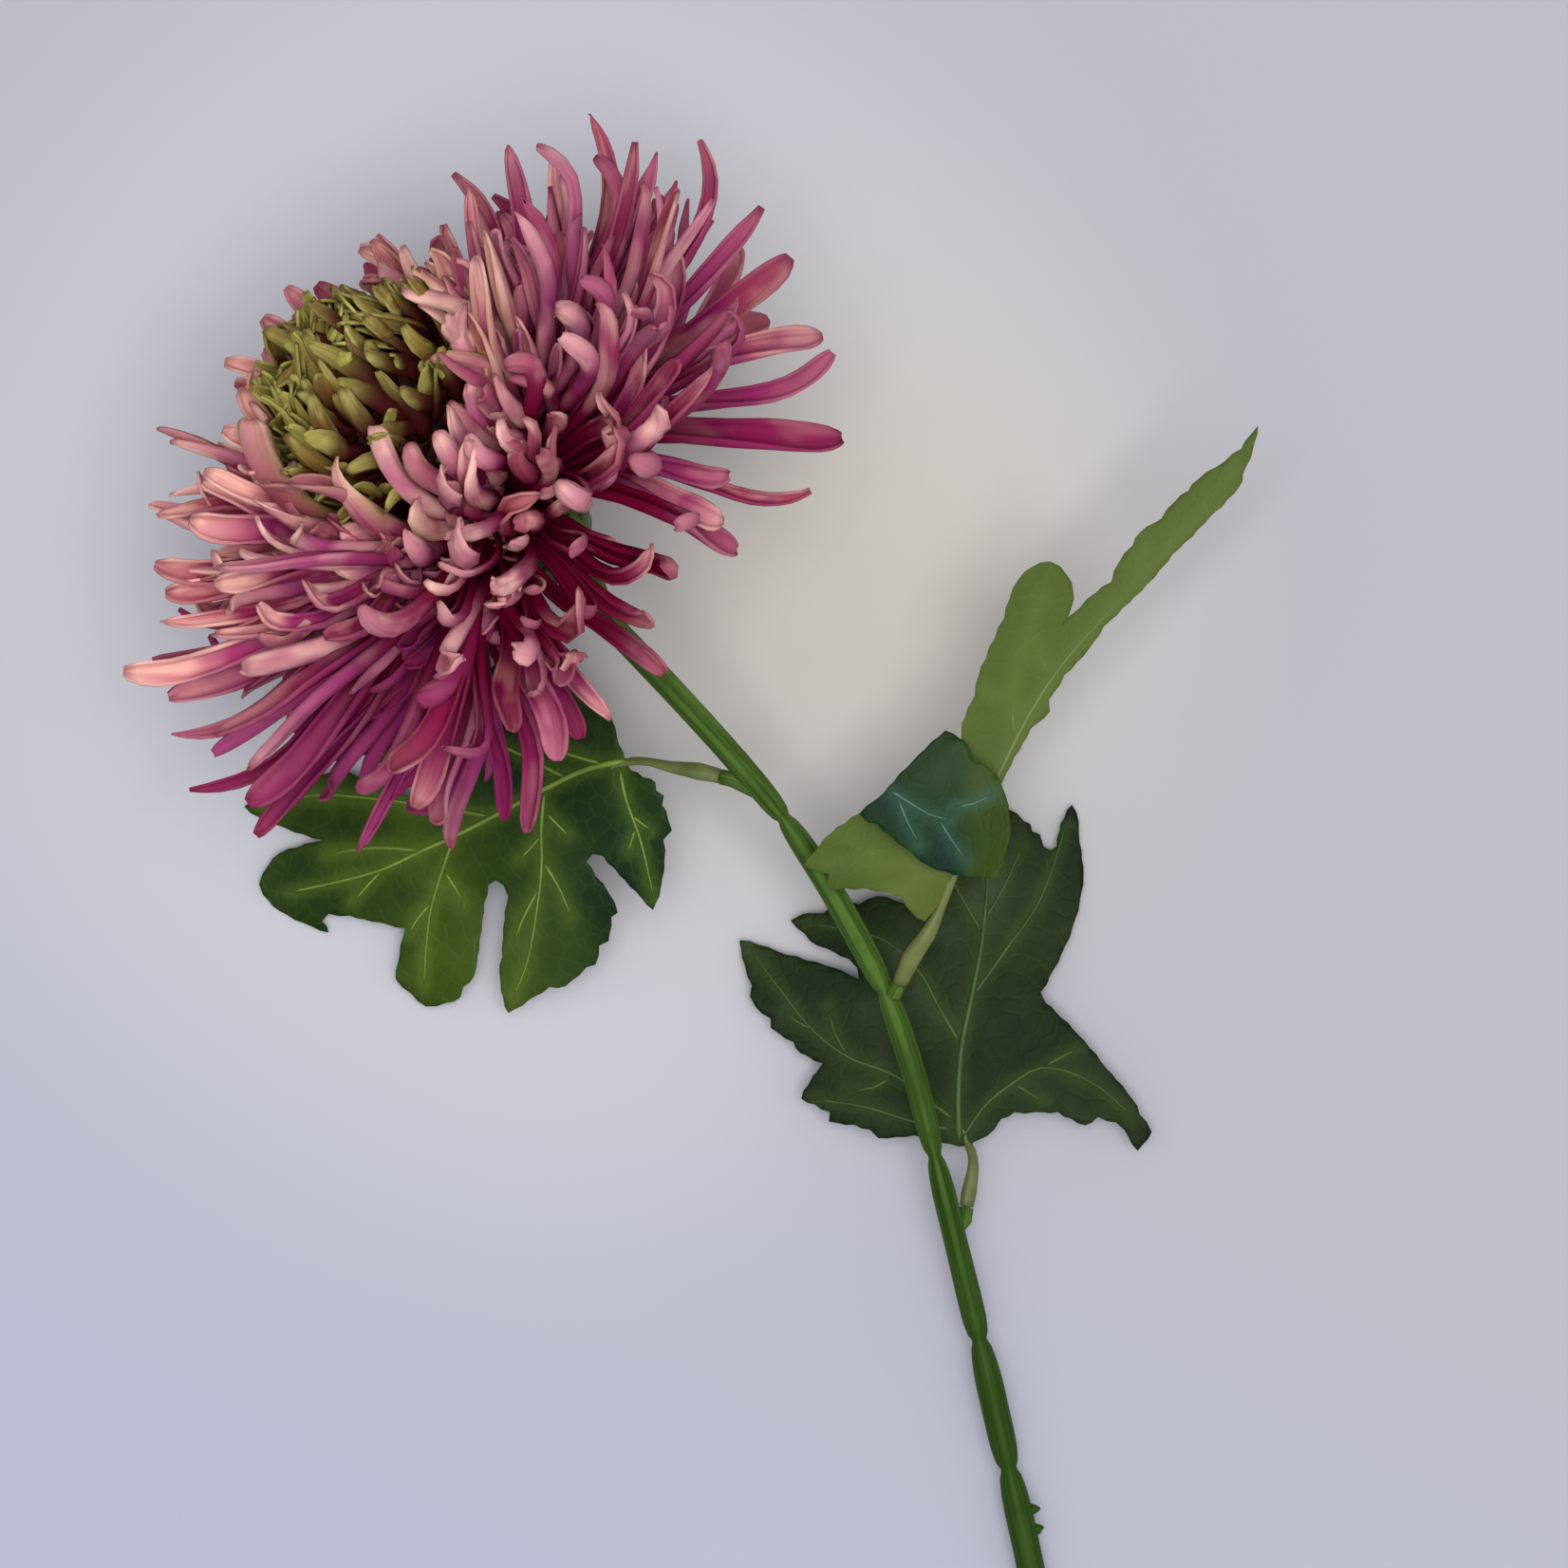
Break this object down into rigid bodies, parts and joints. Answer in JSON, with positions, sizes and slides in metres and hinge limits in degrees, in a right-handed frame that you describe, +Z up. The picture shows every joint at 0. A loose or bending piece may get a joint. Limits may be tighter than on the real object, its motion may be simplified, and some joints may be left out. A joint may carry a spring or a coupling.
{
  "type": "disbud chrysanthemum",
  "caption": "Large single chrysanthemum bloom with narrow ray florets round a tight green centre, on a long cut stem with lobed leaves, lying down.",
  "frame": {"origin": "middle of the underside of the whole flower's box, on the surface it lies on", "axes": "+Z up from the surface, +Y along the stem towards the bloom, +X to the right when seen from above with the bloom at the far end"},
  "size_m": [0.184, 0.4336, 0.0993],
  "materials": {
    "stem": "ridged green stalk, satin",
    "calyx": "green bracts, satin",
    "ray_florets": "soft matt mauve pink with salmon tips",
    "centre_florets": "soft matt olive green",
    "leaf_left": "glossy green top with pale veins, matt underside",
    "leaf_folded": "pale matt underside, glossy blue-green top",
    "leaf_lower": "dark green top with pale veins, satin"
  },
  "bodies": {
    "root": {"stem": "stem", "calyx": "calyx", "ray_florets": "ray_florets", "centre_florets": "centre_florets", "leaf_left": "leaf_left", "leaf_folded": "leaf_folded", "leaf_lower": "leaf_lower"}
  },
  "joints": []
}
